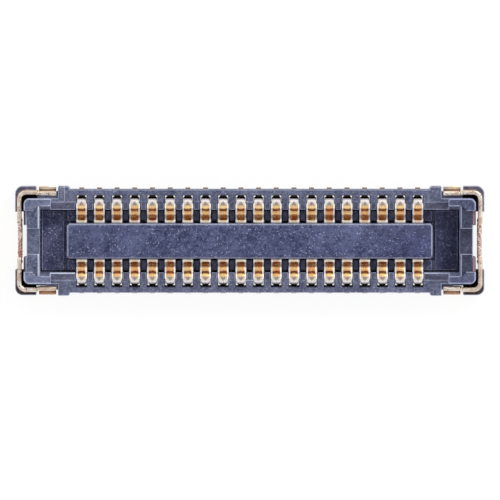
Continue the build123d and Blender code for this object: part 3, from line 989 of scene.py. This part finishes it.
def hold_down_strip(seed):
    """The swept strip of the hold-down at +X, in millimetres."""
    shape = bmesh.new()
    length = strip_line[-1][2]
    rings = []
    for place, way, run in strip_line:
        near_end = min(run, length - run)
        size = 1 - END_THINNED * (1 - smooth_step(near_end, 0.0, END_REACH))
        ring = strip_section(place, way, seed, size)
        rings.append([(shape.verts.new(point[:3]), point[3]) for point in ring])
    for near, far in zip(rings, rings[1:]):
        for index, following in zip(range(len(near)), list(range(1, len(near))) + [0]):
            corners = (near[index], near[following], far[following], far[index])
            face = shape.faces.new([vertex for vertex, kind in corners])
            kinds = {near[index][1], near[following][1]} if following else {STRIP_SIDE}
            face.material_index = kinds.pop() if len(kinds) == 1 else ROLLED
            face.smooth = True
    for ring in (rings[0][::-1], rings[-1]):
        shape.faces.new([vertex for vertex, kind in ring])
    bmesh.ops.recalc_face_normals(shape, faces=shape.faces)
    return shape


# %% The solder feet
FOOT_LINE = (
    ((ARM_Y, 0.22), 0.0),
    ((ARM_Y, 0.04), 0.055),
    ((1.231, 0.04), 0.0),
)
FOOT_STOCK = 0.08
FOOT_HALF_LENGTH = 0.194
FOOT_MIDDLE = 4.575
HOLD_DOWNS = (("right", 0.0, 3.0), ("left", math.pi, 41.0))

foot_line = rounded_line(FOOT_LINE, math.radians(10))
foot_mesh = swept_strip(
    foot_line, FOOT_STOCK, lambda run: FOOT_HALF_LENGTH, lambda run: 0.0, lambda run: 0.0)
print("one foot has", len(foot_mesh.polygons), "faces")

# %% The two hold-downs
for name, turn, seed in HOLD_DOWNS:
    shape = hold_down_strip(seed)
    shape.verts.ensure_lookup_table()
    for side in (1, -1):
        start = len(shape.verts)
        shape.from_mesh(foot_mesh)
        shape.verts.ensure_lookup_table()
        added = shape.verts[start:]
        for vertex in added:
            vertex.co = Vector((FOOT_MIDDLE + vertex.co.x, side * vertex.co.y, vertex.co.z))
            for face in vertex.link_faces:
                face.material_index = FOOT
        if side < 0:
            mirrored = list({face for vertex in added for face in vertex.link_faces})
            bmesh.ops.reverse_faces(shape, faces=mirrored)
    bmesh.ops.rotate(shape, verts=shape.verts, cent=(0, 0, 0), matrix=Matrix.Rotation(turn, 3, "Z"))
    strip_mesh = bpy.data.meshes.new("hold_down")
    for finish in STRIP_FINISHES:
        strip_mesh.materials.append(finish)
    shape.to_mesh(strip_mesh)
    shape.free()
    piece_from(strip_mesh, "hold_down_strip_" + name, ["hold_down_" + name])

# %% [markdown]
# The floor is a plain white sheet. A camera ray sees a little light from it, which brings paper white
# up to white without a brighter lamp, and the rest is ordinary diffuse white that keeps the shadow.

# %% Floor
FLOOR_HALF = 60.0
FLOOR_DROP = 0.002
FLOOR_WHITE, SEEN_WHITE, SEEN_GLOW = 0.8, 0.16, 0.88
SQUARE = ((-1, -1), (1, -1), (1, 1), (-1, 1))


def floor_finish():
    """White sheet that still takes a soft shadow."""
    made, tree = new_material("floor_white")
    paths = add(tree, "ShaderNodeLightPath").outputs
    seen = largest(tree, paths["Is Camera Ray"], paths["Is Glossy Ray"], paths["Is Transmission Ray"])
    plain = add(tree, "ShaderNodeBsdfDiffuse", {"Color": (FLOOR_WHITE,) * 3 + (1.0,)}).outputs[0]
    soft = add(tree, "ShaderNodeBsdfDiffuse", {"Color": (SEEN_WHITE,) * 3 + (1.0,)}).outputs[0]
    glow = add(tree, "ShaderNodeEmission", {"Color": (1.0,) * 4, "Strength": SEEN_GLOW}).outputs[0]
    bright = add(tree, "ShaderNodeAddShader", {0: soft, 1: glow}).outputs[0]
    mixed = add(tree, "ShaderNodeMixShader", {0: seen, 1: plain, 2: bright}).outputs[0]
    add(tree, "ShaderNodeOutputMaterial", {"Surface": mixed})
    return made


floor_mesh = bpy.data.meshes.new("floor")
corners = [(x * FLOOR_HALF * MM, y * FLOOR_HALF * MM, -FLOOR_DROP * MM) for x, y in SQUARE]
floor_mesh.from_pydata(corners, [], [(0, 1, 2, 3)])
floor_mesh.materials.append(floor_finish())
floor = bpy.data.objects.new("floor", floor_mesh)
bpy.context.scene.collection.objects.link(floor)

# %% [markdown]
# The photograph was taken in a light tent: light comes from all round, and the lens leaves a darker
# round patch straight overhead, which shows in every flat piece of metal. One soft lamp stands high on
# the far right, so that edges which face it are a little brighter than the others.

# %% World and lamp
ZENITH, SKY, HORIZON = 0.30, 0.78, 1.05
PATCH_EDGE, SKY_START, HORIZON_START = 10, 32, 65
LAMP_PLACE, LAMP_SIZE, LAMP_POWER = (32.0, 36.0, 44.0), 16.0, 0.011


def tent():
    """A world with a darker patch overhead, which brightens towards the horizon."""
    world = bpy.data.worlds.new("light_tent")
    bpy.context.scene.world = world
    world.use_nodes = True
    tree = world.node_tree
    tree.nodes.clear()
    direction = add(tree, "ShaderNodeTexCoord").outputs["Generated"]
    up = add(tree, "ShaderNodeSeparateXYZ", {"Vector": direction}).outputs["Z"]
    ramp = add(tree, "ShaderNodeValToRGB", {"Fac": up})
    band = ramp.color_ramp
    band.elements[0].position, band.elements[0].color = 0.0, (HORIZON,) * 3 + (1.0,)
    band.elements[1].position, band.elements[1].color = 1.0, (ZENITH,) * 3 + (1.0,)
    for degrees, value in ((HORIZON_START, HORIZON), (SKY_START, SKY), (PATCH_EDGE, ZENITH)):
        band.elements.new(math.cos(math.radians(degrees))).color = (value,) * 3 + (1.0,)
    values = {"Color": (1.0,) * 4, "Strength": ramp.outputs["Color"]}
    light = add(tree, "ShaderNodeBackground", values).outputs[0]
    add(tree, "ShaderNodeOutputWorld", {"Surface": light})


def soft_lamp(name, place, size, power):
    """A square area lamp that points at the middle of the part. Place and size are in millimetres."""
    lamp = bpy.data.lights.new(name, "AREA")
    lamp.shape = "SQUARE"
    lamp.size = size * MM
    lamp.energy = power
    made = bpy.data.objects.new(name, lamp)
    made.location = Vector(place) * MM
    made.rotation_euler = (-made.location).to_track_quat("-Z", "Y").to_euler()
    bpy.context.scene.collection.objects.link(made)


tent()
soft_lamp("far_right", LAMP_PLACE, LAMP_SIZE, LAMP_POWER)

# %% [markdown]
# The camera looks almost straight down. It leans a hair towards +Y, which is why the tails show along
# the upper side only. A long distance keeps the tall and the low edges nearly in line.

# %% Camera
PHOTO_SIDE = 500.0
PITCH_PIXELS = 17.71
SCALE = PITCH / PITCH_PIXELS
PART_CENTRE = (249.75, 241.3)
DISTANCE = 400.0
LEAN = math.radians(1.7)
TOP_LEVEL = cad_high.z / MM

camera_data = bpy.data.cameras.new("camera")
camera_data.sensor_width = 36.0
camera_data.lens = camera_data.sensor_width * DISTANCE / (PHOTO_SIDE * SCALE)
camera_data.clip_start = 10.0 * MM
camera_data.clip_end = 1000.0 * MM
camera = bpy.data.objects.new("camera", camera_data)
bpy.context.scene.collection.objects.link(camera)
aim_x = (PHOTO_SIDE / 2 - PART_CENTRE[0]) * SCALE
aim_y = (PART_CENTRE[1] - PHOTO_SIDE / 2) * SCALE
aim = Vector((aim_x, aim_y, TOP_LEVEL))
camera.location = (aim + Vector((0.0, math.sin(LEAN), math.cos(LEAN))) * DISTANCE) * MM
camera.rotation_euler = (-LEAN, 0.0, 0.0)
bpy.context.scene.camera = camera
bpy.context.scene.view_settings.view_transform = "Standard"
print("camera at", tuple(round(v, 4) for v in camera.location))
